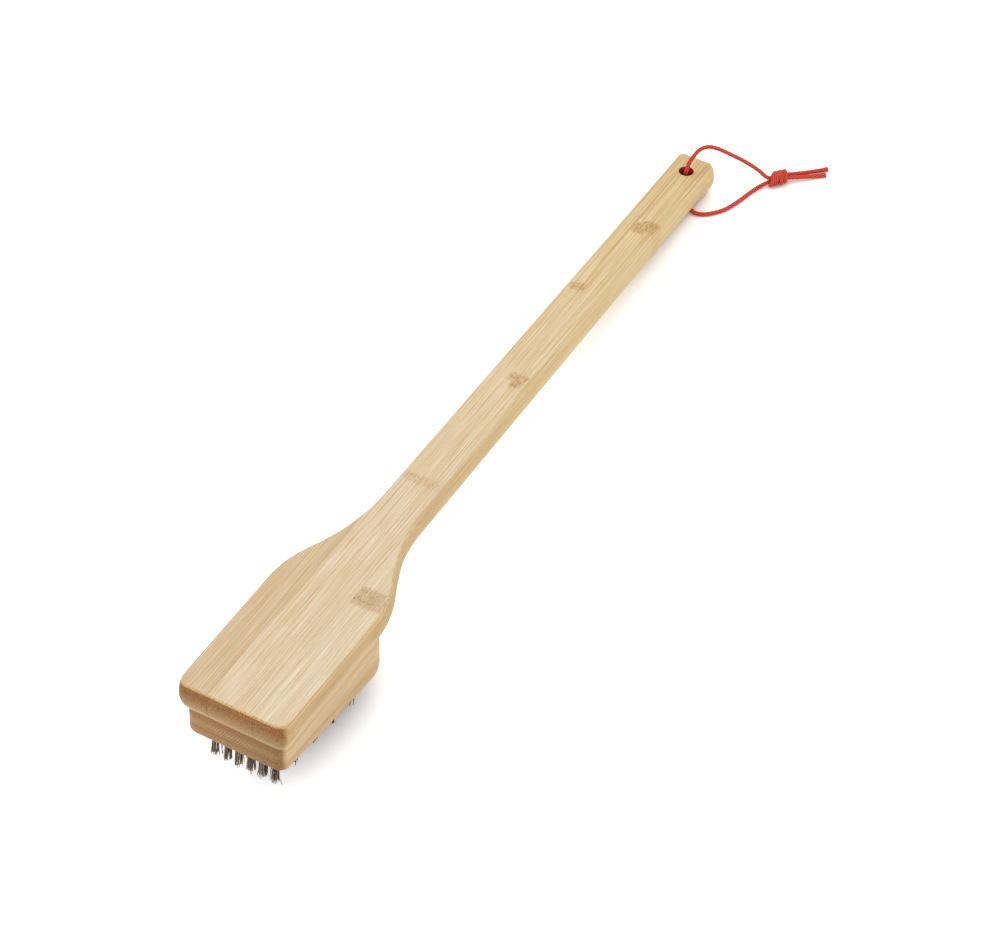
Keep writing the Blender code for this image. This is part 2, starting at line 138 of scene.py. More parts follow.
def cutWith(piece, cutter):
    # Takes the cutter out of the piece, and keeps the result as its mesh.
    change = piece.modifiers.new("cut", "BOOLEAN")
    change.operation = "DIFFERENCE"
    change.solver = "EXACT"
    change.object = cutter
    depsgraph = bpy.context.evaluated_depsgraph_get()
    baked = bpy.data.meshes.new_from_object(piece.evaluated_get(depsgraph))
    piece.modifiers.clear()
    piece.data = baked
    bpy.data.objects.remove(cutter)


def markSharp(piece, degrees=32.0):
    piece.data.shade_smooth()
    piece.data.set_sharp_from_angle(angle=math.radians(degrees))


def straight(start, end, count):
    # The points between two others that divide their distance by a count.
    return start + (end - start) * np.linspace(0.0, 1.0, count + 1)[1:-1, None]


def quarterRound(radius, count):
    # Height and inset down a rounded edge. The height falls by the radius less its cosine, and
    # the inset is the radius less its sine.
    turn = np.linspace(0.0, math.pi / 2, count)
    return np.stack([-radius * (1 - np.cos(turn)), radius * (1 - np.sin(turn))], axis=1)


def gridFaces(index):
    # Quads between neighbouring rows and columns of a grid of point numbers.
    quads = np.stack([index[:-1, :-1], index[:-1, 1:], index[1:, 1:], index[1:, :-1]], axis=-1)
    return quads.reshape(-1, 4)


def tubeFaces(rings, around):
    # Quads round a tube of rings, without its ends.
    index = np.arange(rings * around).reshape(rings, around)
    return gridFaces(np.hstack([index, index[:, :1]]))[:, ::-1].tolist()


def closedFaces(rings, around):
    # The same tube with a face on each end.
    ends = np.arange(around)
    return tubeFaces(rings, around) + [ends.tolist(), (ends[::-1] + (rings - 1) * around).tolist()]


camera = {
    "place": (-0.901593, -0.633794, 1.237761),       # in the paddle's own frame
    "turn": (45.298966, -1.201759, -59.987793),      # degrees, in that frame too
    "lens": 129.6, "sensor": 36.0,                   # mm
    "reach": 20.0,
}


def buildCamera():
    lens = bpy.data.cameras.new("brushCamera")
    lens.lens = camera["lens"]
    lens.sensor_width = camera["sensor"]
    lens.sensor_fit = "HORIZONTAL"
    lens.clip_end = camera["reach"]
    holder = bpy.data.objects.new("brushCamera", lens)
    turn = Euler([math.radians(angle) for angle in camera["turn"]]).to_matrix()
    place = paddleToRow(np.array(camera["place"]))
    turn = Matrix(paddleTurn.tolist()) @ turn
    holder.matrix_world = Matrix.LocRotScale(place.tolist(), turn, None)
    bpy.context.scene.collection.objects.link(holder)
    bpy.context.scene.camera = holder
    print("camera set")


buildCamera()


cord = {
    "diameter": 0.0022,
    "step": 0.00014,             # along the cord between rings of the mesh
    "sides": 40,
    "carriers": 6,               # strands wound each way that show round the cord
    "pickLength": 0.0024,        # one strand's full crossing along the cord
    "relief": 0.00018,           # how far a strand stands over the valleys
    "sunk": 0.6,                 # share of the relief that lies under the cord's radius
    "acrossPower": 0.75,         # below 1 flattens a strand's crown
    "alongPower": 0.45,
    "flareReach": 0.0012,        # from a cut end, over which the braid opens
    "cutRound": 0.0003,          # length of the end's rounding
    "cutSize": 0.55,             # share of the radius that is left at the cut
    "tableClear": 0.00002,       # least height over the table
    "shadowRed": "#6E070C",
    "middleRed": "#D8402F",
    "litRed": "#F76A4E",
    "stops": (0.14, 0.46, 0.86),
    "filaments": (2200.0, 6500.0, 1.0),   # per metre along and round the cord
    # Routes from the table point under the hang hole. The last or first points reach into
    # the knot.
    "over": ((.0011, .0010, .0114), (.0008, .0004, .0160), (.0003, -.0004, .0200),
             (.0013, -.0015, .0260), (.0030, -.0035, .0308), (.0052, -.0061, .0350),
             (.0082, -.0097, .0360), (.0117, -.0137, .0332), (.0162, -.0190, .0274),
             (.0212, -.0249, .0204), (.0258, -.0306, .0125), (.0275, -.0331, .0084),
             (.0288, -.0349, .0061), (.0305, -.0368, .0050)),
    "under": ((.0011, .0010, .0111), (.0011, .0010, .0072), (.0006, .0005, .0039),
              (-.0009, -.0008, .00189), (-.0030, -.0027, .00115), (-.0054, -.0050, .00115),
              (-.0077, -.0077, .00115), (-.0085, -.0110, .00115), (-.0074, -.0149, .00115),
              (-.0041, -.0191, .00115), (.0015, -.0236, .00115), (.0098, -.0270, .00115),
              (.0181, -.0294, .00115), (.0226, -.0311, .0013), (.0263, -.0331, .0018),
              (.0293, -.0355, .0026), (.0310, -.0372, .0034)),
    "tailA": ((.0358, -.0408, .0046), (.0382, -.0424, .0037), (.0409, -.0455, .0032),
              (.0461, -.0508, .0022), (.0509, -.0555, .0015), (.0540, -.0587, .0013)),
    "tailB": ((.0344, -.0422, .0040), (.0364, -.0442, .0037), (.0386, -.0469, .0032),
              (.0432, -.0523, .0022), (.0467, -.0564, .0015), (.0494, -.0598, .0013)),
}

knot = {
    "centre": (.0333, -.0394, .00415),
    "heading": -44.0,            # degrees
    "turnRadius": 0.0029,        # of a turn's centre line round the knot's axis
    "strandRadius": 0.00112,
    # Each turn's place along the axis, and how far it runs along it from its middle to its top.
    "turns": ((-0.0035, 0.0019), (-0.0014, 0.0016), (0.0009, 0.0008), (0.0032, 0.0006)),
    "slantAngle": 39.0,          # round the axis, where the slant is greatest
    "wound": (-80.0, 290.0),     # degrees that a turn is wound from and to
    "stagger": 0.00006,          # one turn lies this much further out, the next further in
    "pickShift": 0.0007,         # of the braid, from one turn to the next
    "core": (0.0008, 0.0005),    # the two held strands, to the side and up
    "coreHalf": 0.0046,
}


def distanceAlong(path):
    return np.r_[0.0, np.cumsum(np.linalg.norm(np.diff(path, axis=0), axis=1))]


def pathAt(path, wanted):
    # Points of a path at these distances along it.
    travelled = distanceAlong(path)
    return np.stack([np.interp(wanted, travelled, path[:, i]) for i in range(3)], axis=1)


def smoothRoute(points, step):
    # A cubic between each two points with slopes along their neighbours, read at equal steps.
    points = np.array(points)
    slopes = np.empty_like(points)
    slopes[1:-1] = (points[2:] - points[:-2]) / 2
    slopes[0] = points[1] - points[0]
    slopes[-1] = points[-1] - points[-2]
    t = np.linspace(0.0, 1.0, 33)[:-1, None]
    start, end = points[:-1, None], points[1:, None]
    fine = (start * (2 * t**3 - 3 * t**2 + 1) + slopes[:-1, None] * (t**3 - 2 * t**2 + t)
            + end * (3 * t**2 - 2 * t**3) + slopes[1:, None] * (t**3 - t**2))
    fine = np.vstack([fine.reshape(-1, 3), points[-1:]])
    length = distanceAlong(fine)[-1]
    wanted = np.linspace(0.0, length, max(int(round(length / step)), 8) + 1)
    return pathAt(fine, wanted), wanted


def carriedFrames(path):
    # Two unit vectors across the path at each of its points, carried along without twist.
    along = np.gradient(path, axis=0)
    along /= np.linalg.norm(along, axis=1)[:, None]
    first = np.cross(along[0], (0.3, 0.5, 0.81))     # any direction off the path will do
    across = [first / np.linalg.norm(first)]
    for direction in along[1:]:
        carried = across[-1] - direction * (across[-1] @ direction)
        across.append(carried / np.linalg.norm(carried))
    across = np.array(across)
    return across, np.cross(along, across)


def braidRelief(travelled, angle):
    # Two families of strands wound opposite ways. In each crossing one of them lies on top,
    # and its height is a half wave across it times a flatter half wave along it.
    turns = cord["carriers"] * angle / math.tau
    picks = travelled / cord["pickLength"]
    left, right = turns + picks, turns - picks
    leftOnTop = (np.floor(left) + np.floor(right)) % 2 == 0
    waveLeft = np.abs(np.sin(math.pi * left))
    waveRight = np.abs(np.sin(math.pi * right))
    across = np.where(leftOnTop, waveLeft, waveRight)
    lengthwise = np.where(leftOnTop, waveRight, waveLeft)
    return across ** cord["acrossPower"] * lengthwise ** cord["alongPower"]


def braidSurface(path, travelled, radius, flare=0.0):
    # Ring round each point of the path, its radius lifted by the braid, widened at a cut end.
    across, upward = carriedFrames(path)
    angle = np.linspace(0.0, math.tau, cord["sides"], endpoint=False)[None, :]
    relief = braidRelief(travelled[:, None], angle)
    left = travelled[-1] - travelled
    widened = 1.0 + flare * np.exp(-left / cord["flareReach"])[:, None]
    closing = np.clip(left / cord["cutRound"], 0.0, 1.0)[:, None] ** 0.5 if flare else 1.0
    closing = cord["cutSize"] + (1.0 - cord["cutSize"]) * closing
    size = (radius + (relief - cord["sunk"]) * cord["relief"]) * widened * closing
    points = (path[:, None] + (size * np.cos(angle))[..., None] * across[:, None]
              + (size * np.sin(angle))[..., None] * upward[:, None])
    points[..., 2] = np.maximum(points[..., 2], cord["tableClear"])
    u = np.broadcast_to(travelled[:, None], relief.shape)
    v = np.broadcast_to(angle * radius, relief.shape)
    uv = np.stack([u, v], axis=-1).reshape(-1, 2)
    return points.reshape(-1, 3), closedFaces(*relief.shape), relief.ravel(), uv


def makeBraidedPolyester():
    # Braided polyester cord: fine red filaments, matt with a soft sheen. A painted highlight on the
    # crowns and painted shade in the deep red valleys let the single picks of the braid read.
    material, shader, add = newMaterial("braidedPolyester")
    lift = add("Attribute", output="Fac", attribute_name="braidLift")
    # From the braid's relief: painted shade in the valleys (shadowRed), painted highlight on the crowns
    # (litRed).
    tones = (cord["shadowRed"], cord["middleRed"], cord["litRed"])
    crown = add("ValToRGB", {"Fac": lift}, stops=list(zip(cord["stops"], tones)))
    # Filaments are about 0.03 mm. They are drawn 0.15 mm apart, which is what can show.
    thread = add("Mapping", {"Vector": add("UVMap", uv_map="alongCord"), "Scale": cord["filaments"]})
    filament = add("TexNoise", {"Vector": thread, "Scale": 1.0, "Detail": 2.0, "Roughness": 0.6})
    fuzz = add("MapRange", {"Value": filament, "From Min": 0.3, "From Max": 0.7,
                            "To Min": 0.82, "To Max": 1.14})
    setInputs(shader, {
        "Base Color": add("MixRGB", {"Fac": 1.0, "Color1": crown, "Color2": fuzz}, blend_type="MULTIPLY"),
        "Normal": add("Bump", {"Height": filament, "Strength": 0.35, "Distance": 0.0001}),
        "Roughness": 0.72, "IOR": 1.55, "Specular IOR Level": 0.2,
        "Sheen Weight": 0.05, "Sheen Roughness": 0.5})
    return material


def addBraid(name, strands, material, nodes):
    # One piece from one or more braid surfaces, with the relief and the UVs kept on it.
    points, faces, reliefs, uvs = [], [], [], []
    for surface in strands:
        start = sum(len(p) for p in points)
        points.append(surface[0])
        faces += [[corner + start for corner in face] for face in surface[1]]
        reliefs.append(surface[2])
        uvs.append(surface[3])
    piece = newPiece(name, np.vstack(points), faces, material, "hang_loop", nodes)
    keepNumbers(piece, "braidLift", np.concatenate(reliefs))
    mesh = piece.data
    corners = np.empty(len(mesh.loops), np.int32)
    mesh.loops.foreach_get("vertex_index", corners)
    mesh.uv_layers.new(name="alongCord").data.foreach_set(
        "uv", np.vstack(uvs)[corners].astype(np.float32).ravel())
    return piece


def buildKnot(material):
    # Slanted turns round an axis: across it a circle, along it a cosine of the angle. Inside
    # run the two strands that the turns hold.
    heading = math.radians(knot["heading"])
    axis = np.array([math.cos(heading), math.sin(heading), 0.0])
    side = np.array([-math.sin(heading), math.cos(heading), 0.0])
    up = np.array([0.0, 0.0, 1.0])
    centre = loopPlace + np.array(knot["centre"])
    angle = np.radians(np.linspace(*knot["wound"], 160))[:, None]
    strands = []
    for number, (offset, slant) in enumerate(knot["turns"]):
        along = offset + slant * np.cos(angle - math.radians(knot["slantAngle"]))
        away = knot["turnRadius"] + knot["stagger"] * (-1) ** number
        path = centre + axis * along + away * (side * np.cos(angle) + up * np.sin(angle))
        wanted = np.arange(0.0, distanceAlong(path)[-1], cord["step"])
        strands.append(braidSurface(pathAt(path, wanted), wanted + knot["pickShift"] * number,
                                    knot["strandRadius"]))
    for way in (-1, 1):
        wanted = np.arange(-knot["coreHalf"], knot["coreHalf"], cord["step"])
        path = centre + axis * wanted[:, None] + way * (side * knot["core"][0] + up * knot["core"][1])
        strands.append(braidSurface(path, wanted - wanted[0], knot["strandRadius"]))
    return addBraid("cordKnot", strands, material, ["cord_knot"])


def buildCord():
    braid = makeBraidedPolyester()
    knotPiece = buildKnot(braid)
    runs = {}
    for name, route, node, flare in (("cordOver", "over", "cord_over", 0.0),
                                     ("cordUnder", "under", "cord_under", 0.0),
                                     ("cordTailA", "tailA", "cord_tail_a", 0.34),
                                     ("cordTailB", "tailB", "cord_tail_b", 0.30)):
        path, travelled = smoothRoute(np.array(cord[route]) + loopPlace, cord["step"])
        surface = braidSurface(path, travelled, cord["diameter"] / 2, flare)
        runs[name] = (addBraid(name, [surface], braid, [node]), path, travelled[-1])
    tails = [runs[name][0] for name in ("cordTailA", "cordTailB")]
    for name, stiffness, pieces in (("cordOver", "medium", [knotPiece]), ("cordUnder", "limp", tails)):
        piece, path, length = runs[name]
        print(name, "is", round(length * 1000, 1), "mm")


buildCord()
print("cord laid")


bamboo = {
    # Tones down the sides and down the sawn ends, as (depth in mm under the top face, colour):
    # the strips' golden skin, the pinker layer under it, the joint, the block's two layers. Some of
    # it is painted light: a painted highlight on the ends' eased top edge at 0.5 mm, a paler band of
    # painted light on the paddle's lower rounding from about 12 to 19 mm, and painted shade in the
    # dark band just under the paddle, from about 17.7 to 21 mm, where the joint also lies.
    "side": ((0.0, "#E2C8A0"), (1.5, "#E0BE87"), (3.0, "#D3B07C"), (9.0, "#D4B280"),
             (13.5, "#E0C194"), (19.4, "#E4C59A"), (20.9, "#D7B584"), (22.8, "#E0C194"),
             (27.4, "#DEC093"), (29.4, "#D4AF7E"), (46.0, "#D7B582")),
    "end": ((0.5, "#E2BD87"), (1.15, "#A07039"), (4.0, "#986634"), (9.0, "#AD8450"),
            (12.0, "#B48D5E"), (15.0, "#CDAB7A"), (17.3, "#C19D6F"), (17.7, "#A17748"),
            (20.3, "#9F7243"), (24.0, "#B08857"), (27.8, "#9F7548"), (29.4, "#A98254"),
            (46.0, "#A57B4A")),
    "deepest": 46.0,
    "faceStops": (0.35, 0.46, 0.54, 0.65),
    "paintedSideLight": "#F5D99D", "skin": "#D8AF6C", "handleSlantLight": "#F6DFA9", "nick": "#BC8F52",
    "seam": "#7F532C", "seamPlace": 0.0125, "seamHalf": 0.0004,
    # Reddish and dark spots on the ends: place, reach, colour.
    "spots": (((0.001, -0.0255, -0.003), 0.006, "#9A5033"), ((0.001, 0.0120, -0.002), 0.002, "#9A5A36"),
              ((0.002, -0.0240, -0.0325), 0.015, "#8F5A26")),
    "spotFull": 0.001,
    # The bore's chamfer and its wall: where the colour starts and is full, in chamfers past
    # the bore's radius. The wall's dark red is painted shade with a painted red reflection of the cord.
    "bore": ((1.1, 0.8, "#F0DDB4"), (0.20, 0.05, "#A8301E")),
    "boldFibres": (0.16, 0.00095),
    "ragged": (0.0040, 0.00070),
    "raggedAmount": -2.6, "patchEdge": (-0.05, -0.55),
    "dotsPerMetre": 480.0, "specksPerMetre": 2000.0,
    # Marks of the saw on the block's front: radians per metre, so 1.3 mm apart and slanted.
    # They fade out away from their middle.
    "sawWave": (0.0, 4000.0, 2700.0), "sawMiddle": (0.002, 0.002, -0.0245),
    "sawSpread": (1.0, 58.0, 340.0),
    # What a mask is read from, where it starts and where it is full, and the values it runs
    # between if they aren't 0 and 1. A bracket of numbers is fibres: length, width, detail.
    "masks": {
        "handleEnd": ("x", 0.27, 0.42),
        "yellower": ("x", 0.15, 0.44),
        "cloud": ((0.060, 0.0085, 1.0), 0.45, 0.70),         # slow changes over centimetres
        "fleck": ((0.0036, 0.00036, 0.0), 0.68, 0.80),       # short dark fibre ends
        "lines": ((0.19, 0.0006, 1.0), 0.50, 0.56),          # long dark ones
        "joint": ("y", 0.0165, 0.0130),                      # beside the cheek's glue joint
        "dash": ((0.0030, 0.00050, 0.0), 0.50, 0.58),
        "dots": ("cells", 0.24, 0.14),
        "slope": ("z", -0.020, -0.028, 0.0, 0.05),           # of the block's layers
        # where the sides take painted light, along the handle
        "paler": ("x", 0.10, 0.36),
        "skin": ("z", -0.009, -0.005),
        "mottle": ((0.0050, 0.0008, 1.0), 0.52, 0.66),
        "grain": ("streak", 0.36, 0.64, 0.85, 1.13),
        "gloss": ("streak", 0.35, 0.65, 0.62, 0.50),
        "speckAmount": ("z", -0.013, -0.001, 1.3, 2.8),      # closest under the skin
        "speck": ("speck", 0.56, 0.44),
        "far": ("y", -0.028, 0.020, 0.83, 1.06),             # darker away from the light
        "low": ("z", -0.004, -0.012),
        "paddleFront": ("z", -0.0175, -0.0165),
        "sawn": ("sawn", 1.1, 0.7, 0.0, 0.24),
        "sideways": ("level", 0.80, 0.35),                   # from flat to upright
        "joined": ("x", 0.25, 0.38, 1.0, 0.25),
        "ends": ("endwise", 0.36, 0.76),
        "slanted": ("level", 0.85, 0.45),
        "lit": ("x", 0.22, 0.40),
        "eased": ("up", 0.30, 0.60),                         # a bell over the slants
        "notFlat": ("up", 0.985, 0.90),
        "fading": ("x", 0.09, 0.18, 1.0, 0.10),
        "nick": ((0.011, 0.0012), 0.54, 0.62),
    },
}


def makePressedBamboo(name, look):
    # Bamboo split into strips, pressed and glued, then planed, sanded and left bare. It gives a
    # matt beige face with fine straight fibres, growth nodes in rows of short dashes, golden
    # sides where the strips' skin shows, and brown speckled end grain.
    material, shader, add = newMaterial(name)
    place = add("Mapping", {"Vector": add("TexCoord", output="Object"), "Location": tuple(paddlePlace),
                            "Rotation": (0.0, pitch, 0.0)}, vector_type="TEXTURE")
    x, y, z = add("SeparateXYZ", {"Vector": place}).node.outputs
    normal = add("TexCoord", output="Normal")
    up, endwise = [add("VectorMath", {0: normal, 1: tuple(axis)}, output="Value", operation="DOT_PRODUCT")
                   for axis in (paddleTurn[:, 2], paddleTurn[:, 0])]
    level, endwise = [add("Math", {0: facing}, operation="ABSOLUTE") for facing in (up, endwise)]
    seeded = add("VectorMath", {0: place, 1: (look["seed"], 0.0, 0.0)}, operation="ADD")

    def fibres(length, width, detail=2.0):
        # Noise drawn out along the grain to fibres of a length and a width, in metres.
        drawn = add("VectorMath", {0: seeded, 1: (1 / length, 1 / width, 1 / width)}, operation="MULTIPLY")
        return add("TexNoise", {"Vector": drawn, "Scale": 1.0, "Detail": detail, "Roughness": 0.5})

    def layOver(base, *layers):
        # Lays colours over one another. A layer is how it blends, its colour, its share and the
        # masks that limit it.
        for blend, tone, share, *limits in layers:
            for limit in limits:
                share = add("Math", {0: limit, 1: share}, operation="MULTIPLY", use_clamp=True)
            base = add("MixRGB", {"Fac": share, "Color1": base, "Color2": tone}, blend_type=blend)
        return base

    # Fibres 0.4 to 1 mm wide, straight, in low contrast. Wider and stronger ones take over
    # towards the handle's end.
    _, start, full = bamboo["masks"]["handleEnd"]
    bold = add("MapRange", {"Value": x, "From Min": start, "From Max": full, "To Max": look["endFibres"]})
    streak = 0.5
    for length, width, share in look["fibres"] + ((*bamboo["boldFibres"], bold),):
        centred = add("Math", {0: fibres(length, width), 1: 0.5}, operation="SUBTRACT")
        streak = add("Math", {0: centred, 1: share, 2: streak}, operation="MULTIPLY_ADD")

    speck = add("TexNoise", {"Vector": place, "Scale": bamboo["specksPerMetre"], "Detail": 1.0})
    cells = add("TexVoronoi", {"Vector": seeded, "Scale": bamboo["dotsPerMetre"]})
    sawn = add("VectorMath", {0: place, 1: bamboo["sawMiddle"]}, operation="SUBTRACT")
    sawn = add("VectorMath", {0: sawn, 1: bamboo["sawSpread"]}, operation="MULTIPLY")
    sawn = add("VectorMath", {0: sawn}, output="Value", operation="LENGTH")
    sources = {"x": x, "y": y, "z": z, "up": up, "level": level, "endwise": endwise,
               "streak": streak, "speck": speck, "cells": cells, "sawn": sawn}
    mask = SimpleNamespace()
    for key, (source, first, last, *ends) in bamboo["masks"].items():
        value = sources[source] if source in sources else fibres(*source)
        low, high = ends or (0.0, 1.0)
        setattr(mask, key, add("MapRange", {"Value": value, "From Min": first, "From Max": last,
                                            "To Min": low, "To Max": high}))

    # Growth nodes: patches across the fibres with a ragged edge, dashes and dots in them.
    ragged = fibres(*bamboo["ragged"])
    patch = 0.0
    for nodeX, nodeY, halfLength, halfWidth, amount in look["nodes"]:
        off = add("VectorMath", {0: place, 1: (nodeX, nodeY, 0.0)}, operation="SUBTRACT")
        off = add("VectorMath", {0: off, 1: (1 / halfLength, 1 / halfWidth, 0.0)}, operation="MULTIPLY")
        off = add("VectorMath", {0: off, 1: off}, operation="MULTIPLY")
        away = add("VectorMath", {0: off}, output="Value", operation="LENGTH")
        away = add("Math", {0: ragged, 1: bamboo["raggedAmount"], 2: away}, operation="MULTIPLY_ADD")
        outer, inner = bamboo["patchEdge"]
        inside = add("MapRange", {"Value": away, "From Min": outer, "From Max": inner, "To Max": amount})
        patch = add("Math", {0: inside, 1: patch}, operation="MAXIMUM")
    face = add("ValToRGB", {"Fac": streak}, stops=[(stop, look[tone]) for stop, tone in zip(
        bamboo["faceStops"], ("dark", "middle", "light", "pale"))])
    face = layOver(
        face,
        ("MIX", look["fleck"], 0.45, mask.lines, mask.handleEnd),
        ("MIX", look["cloud"], look["jointAmount"], mask.joint),
        ("MIX", look["cloud"], 0.40, mask.cloud),
        ("MIX", look["fleck"], 0.40, mask.fleck),
        ("MULTIPLY", look["handleTint"], 1.0, mask.yellower),
        ("MIX", look["node"], 0.50, patch),
        ("MIX", look["dash"], look["dashAmount"], mask.dash, patch),
        ("MIX", look["dot"], look["dotAmount"], mask.dots, patch))

    # Depth under the top face. Under the paddle the block's layers slope back a little.
    deepest = bamboo["deepest"]
    depth = add("Math", {0: x, 1: mask.slope, 2: z}, operation="MULTIPLY_ADD")
    depth = add("MapRange", {"Value": depth, "From Min": 0.0, "From Max": -deepest / 1000})
    side, end = [add("ValToRGB", {"Fac": depth}, stops=[(mm / deepest, code) for mm, code in bamboo[tones]])
                 for tones in ("side", "end")]

    # Sides: the same fibres in a lower key, golden dashes in the skin, and paler along the handle with
    # painted light.
    side = layOver(
        side,
        ("MIX", bamboo["paintedSideLight"], 0.6, mask.paler),
        ("MIX", bamboo["skin"], 0.55, mask.skin, mask.mottle),
        ("MULTIPLY", mask.grain, 1.0))

    # Ends: cut fibre bundles of about 0.3 mm as dark specks, and spots. The side away from the
    # light is darker. A fine line shows each glue joint on the paddle's front, and the saw left
    # slanted marks on the block's.
    specks = add("Math", {0: speck, 1: 0.5}, operation="SUBTRACT")
    specks = add("Math", {0: specks, 1: mask.speckAmount, 2: 1.0}, operation="MULTIPLY_ADD")
    end = layOver(end, ("MULTIPLY", specks, 1.0))
    for centre, reach, tone in bamboo["spots"]:
        away = add("VectorMath", {0: place, 1: centre}, output="Value", operation="DISTANCE")
        near = add("MapRange", {"Value": away, "From Min": reach, "From Max": bamboo["spotFull"]})
        end = layOver(end, ("MIX", tone, 1.0, near, mask.speck))
    darker = add("Math", {0: 1.0, 1: mask.low}, operation="SUBTRACT")
    darker = add("Math", {0: darker, 1: look["endShade"]}, operation="MULTIPLY")
    far = add("Math", {0: mask.far, 1: mask.low, 2: darker}, operation="MULTIPLY_ADD")
    seam = add("Math", {0: y}, operation="ABSOLUTE")
    seam = add("Math", {0: seam, 1: bamboo["seamPlace"], 2: bamboo["seamHalf"]}, operation="COMPARE")
    teeth = add("VectorMath", {0: place, 1: bamboo["sawWave"]}, output="Value", operation="DOT_PRODUCT")
    teeth = add("Math", {0: teeth}, operation="SINE")
    teeth = add("Math", {0: teeth, 1: mask.sawn, 2: 1.0}, operation="MULTIPLY_ADD")
    end = layOver(
        end,
        ("MULTIPLY", far, 1.0),
        ("MIX", bamboo["seam"], 0.4, seam, mask.paddleFront),
        ("MULTIPLY", teeth, 1.0))

    # Which of the three a point shows, from the way it faces. Towards the handle's end the
    # sides carry the face's own fibres, and the slanted faces there are paler with painted light.
    # The eased top edge cuts the strips at a slant and looks golden.
    nick = layOver(look["edge"], ("MIX", bamboo["nick"], 1.0, mask.nick))
    colour = layOver(
        face,
        ("MIX", bamboo["handleSlantLight"], 0.45, mask.slanted, mask.lit),
        ("MIX", side, 1.0, mask.sideways, mask.joined),
        ("MIX", end, 1.0, mask.ends),
        ("MIX", nick, look["edgeAmount"], mask.eased, mask.notFlat, mask.fading))

    # The bore: its wall darkened with painted shade and reddened with a painted reflection of the cord.
    if look["bore"]:
        holeX, radius, rim = look["bore"]
        flat = add("VectorMath", {0: place, 1: (1.0, 1.0, 0.0)}, operation="MULTIPLY")
        out = add("VectorMath", {0: flat, 1: (holeX, 0.0, 0.0)}, output="Value", operation="DISTANCE")
        for outer, inner, tone in bamboo["bore"]:
            near = add("MapRange", {"Value": out, "From Min": radius + rim * outer,
                                    "From Max": radius + rim * inner})
            colour = layOver(colour, ("MIX", tone, 1.0, near))

    setInputs(shader, {
        "Base Color": colour, "Roughness": mask.gloss,
        "Normal": add("Bump", {"Height": streak, "Strength": 0.15, "Distance": 0.0003}),
        "IOR": 1.5, "Specular IOR Level": 0.3})
    return material


paddle = {
    "length": 0.460, "thickness": 0.0175,
    "headHalf": 0.0297, "headStraight": 0.0785,
    "shoulderRadius": 0.062, "neckRadius": 0.112,
    "neckHalf": 0.0115, "tipHalf": 0.0101,
    "frontCorner": 0.0056, "tipCorner": 0.0031, "leastCorner": 0.0002,
    "topEdge": 0.0010, "wallLevels": (-0.003, -0.005, -0.007),
    "sideCurveStart": 0.0090, "sideCurveRadius": 0.020,
    "softEdge": 0.0016, "softFrom": (0.24, 0.40),            # wider easing along the handle
    "cornerEasing": 0.9, "cornerReach": 0.0060,              # and at the front corners
    # Sides that swell at half their height.
    "shoulderBelly": 0.0013, "tipBelly": 0.0016, "frontBelly": 0.0013, "frontReach": 0.0090,
    "shoulderFrom": (0.070, 0.092), "shoulderTo": (0.112, 0.138), "tipFrom": (0.443, 0.454),
    "tipCurveLoss": 0.3,                                     # the tip's sides curve in less
    "plankHalf": 0.0125, "glueGap": 0.00006,
    "holeFromTip": 0.0130, "holeRadius": 0.0040, "holeChamfer": 0.0006,
}

plankLook = {
    "pale": "#F0E1C6", "light": "#E6D1B1", "middle": "#DEC6A1", "dark": "#CDAD7B",
    "cloud": "#D9BE96", "fleck": "#C49A5E", "handleTint": "#FFFAE2",
    "edge": "#D8B172", "edgeAmount": 0.60, "jointAmount": 0.0, "endShade": 0.97,
    "node": "#CBA163", "dash": "#A37230", "dashAmount": 0.8, "dot": "#86592E", "dotAmount": 0.35,
    # Fibres: length, width, share. Further ones show at the handle's end.
    "fibres": ((0.060, 0.0008, 0.34), (0.045, 0.00048, 0.60), (0.022, 0.00036, 0.55)),
    "endFibres": 0.8, "seed": 0.0,
    # Growth nodes: place along and across, half length, half width, strength.
    "nodes": ((0.3925, -0.0010, 0.0042, 0.0036, 0.9), (0.3960, -0.0060, 0.0040, 0.0048, 0.9),
              (0.3925, -0.0115, 0.0034, 0.0040, 0.7), (0.3350, 0.0060, 0.0026, 0.0030, 0.7),
              (0.3365, 0.0025, 0.0026, 0.0026, 0.7), (0.2550, -0.0050, 0.0032, 0.0032, 0.7),
              (0.2590, -0.0025, 0.0030, 0.0036, 0.7), (0.2600, -0.0078, 0.0024, 0.0010, 1.0),
              (0.1715, 0.0020, 0.0030, 0.0105, 0.35)),
    "bore": (paddle["length"] - paddle["holeFromTip"], paddle["holeRadius"], paddle["holeChamfer"]),
}
plainLook = dict(plankLook, nodes=(), bore=())
leftLook = dict(plainLook, pale="#E9D6B8", light="#DDC4A0", middle="#D6BB92", dark="#CAA97B",
                cloud="#CBAA7C", jointAmount=0.35, endShade=0.92, seed=2.3)
rightLook = dict(plainLook, pale="#F1E4C9", light="#E8D4B4", middle="#E1CBA7", dark="#D5B98F",
                 node="#C4A47A", dash="#AC8656", dashAmount=0.45, dotAmount=0.6, seed=3.9,
                 nodes=((0.0905, -0.0172, 0.0062, 0.0124, 1.0),))


def arcPoints(centreX, centreY, radius, start, end, count):
    # Points on a circle from one angle to another.
    angle = np.linspace(start, end, count)
    return np.stack([centreX + radius * np.cos(angle), centreY + radius * np.sin(angle)], axis=1)


